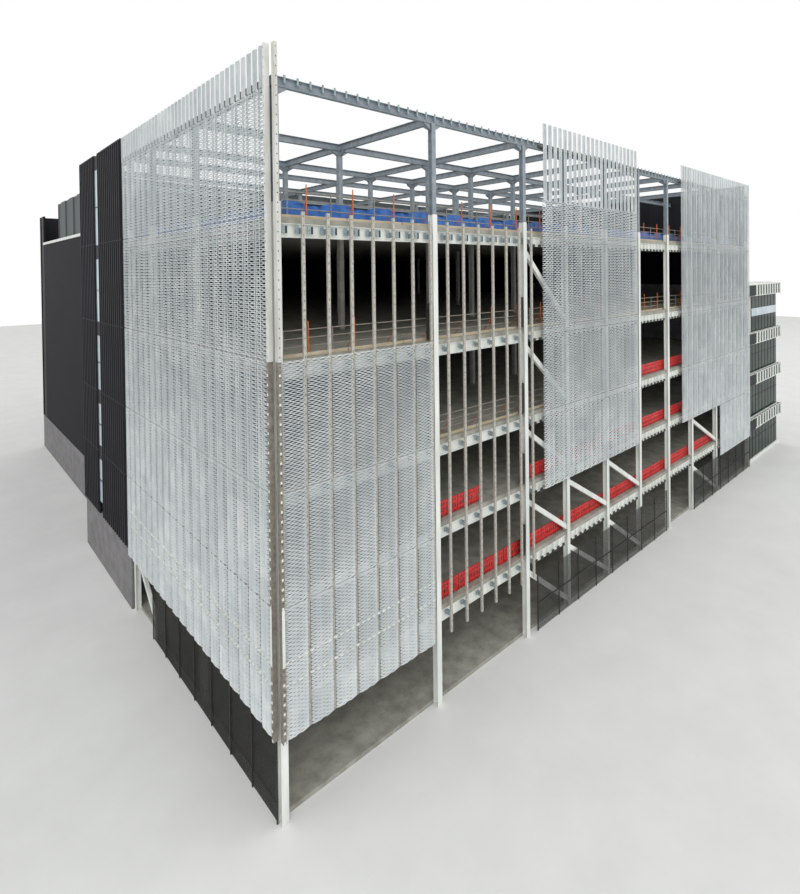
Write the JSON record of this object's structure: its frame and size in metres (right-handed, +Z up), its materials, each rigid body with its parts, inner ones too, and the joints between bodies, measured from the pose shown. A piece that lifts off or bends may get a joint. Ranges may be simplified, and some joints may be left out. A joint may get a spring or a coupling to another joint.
{
  "type": "data centre under construction, 1:10 scale model",
  "caption": "Data centre under construction: white steel frame, open storeys, silver mesh cladding half hung, dark ribbed rear block and glazed office.",
  "frame": {"origin": "centre of the bounding box in plan, at ground level", "axes": "+X along the front from the mesh corner to the office, +Y from the front to the back, +Z up"},
  "size_m": [8.754, 7.969, 3.815],
  "materials": {
    "concrete": "cast concrete, matt",
    "white_steel": "white paint on steel, satin",
    "primed_steel": "grey primer on steel, matt",
    "galvanised_rail": "galvanised, dull",
    "silver_mesh": "anodised expanded sheet, satin",
    "dark_cladding": "dark coated ribbed sheet, satin",
    "screen_cladding": "grey-green coated ribbed sheet, satin",
    "plinth_panel": "grey cement panels, matt",
    "black_mesh": "black coated mesh, matt",
    "clear_glass": "clear glazing",
    "office_glass": "dark green glazing",
    "guard_steel": "galvanised tube with orange posts, dull",
    "timber": "sawn softwood",
    "red_plastic": "red coated mesh barrier",
    "blue_net": "blue woven netting"
  },
  "bodies": {
    "root": {"ground_slab": "concrete", "floor_1": "concrete", "floor_2": "concrete", "floor_3": "concrete", "floor_4": "concrete", "roof_deck": "concrete", "front_columns": "white_steel", "side_columns": "white_steel", "inner_columns": "primed_steel", "front_edge_beams": "white_steel", "side_edge_beams": "white_steel", "front_braces": "white_steel", "side_brace": "white_steel", "roof_frame_columns": "primed_steel", "roof_long_beams": "primed_steel", "roof_cross_beams": "primed_steel", "front_rails": "galvanised_rail", "rail_brackets": "primed_steel", "corner_rails": "galvanised_rail", "mesh_carriers": "galvanised_rail", "side_mesh": "silver_mesh", "bay_mesh": "silver_mesh", "centre_mesh": "silver_mesh", "right_mesh": "silver_mesh", "side_strips": "silver_mesh", "centre_strips": "silver_mesh", "side_black_mesh": "black_mesh", "front_black_mesh": "black_mesh", "tall_dark_cladding": "dark_cladding", "slot_glass": "clear_glass", "side_plinth": "plinth_panel", "rear_plinth": "plinth_panel", "rear_side_wall": "dark_cladding", "end_return_wall": "dark_cladding", "back_wall": "dark_cladding", "right_rear_wall": "dark_cladding", "tall_return_wall": "dark_cladding", "party_wall": "plinth_panel", "right_upper_wall": "dark_cladding", "copings": "white_steel", "plant_screen": "screen_cladding", "office_floors": "white_steel", "office_glass": "office_glass", "office_columns": "concrete", "office_fins": "white_steel", "guard_rails": "guard_steel", "kickboards": "timber", "red_barriers": "red_plastic", "blue_netting": "blue_net"}
  },
  "joints": []
}
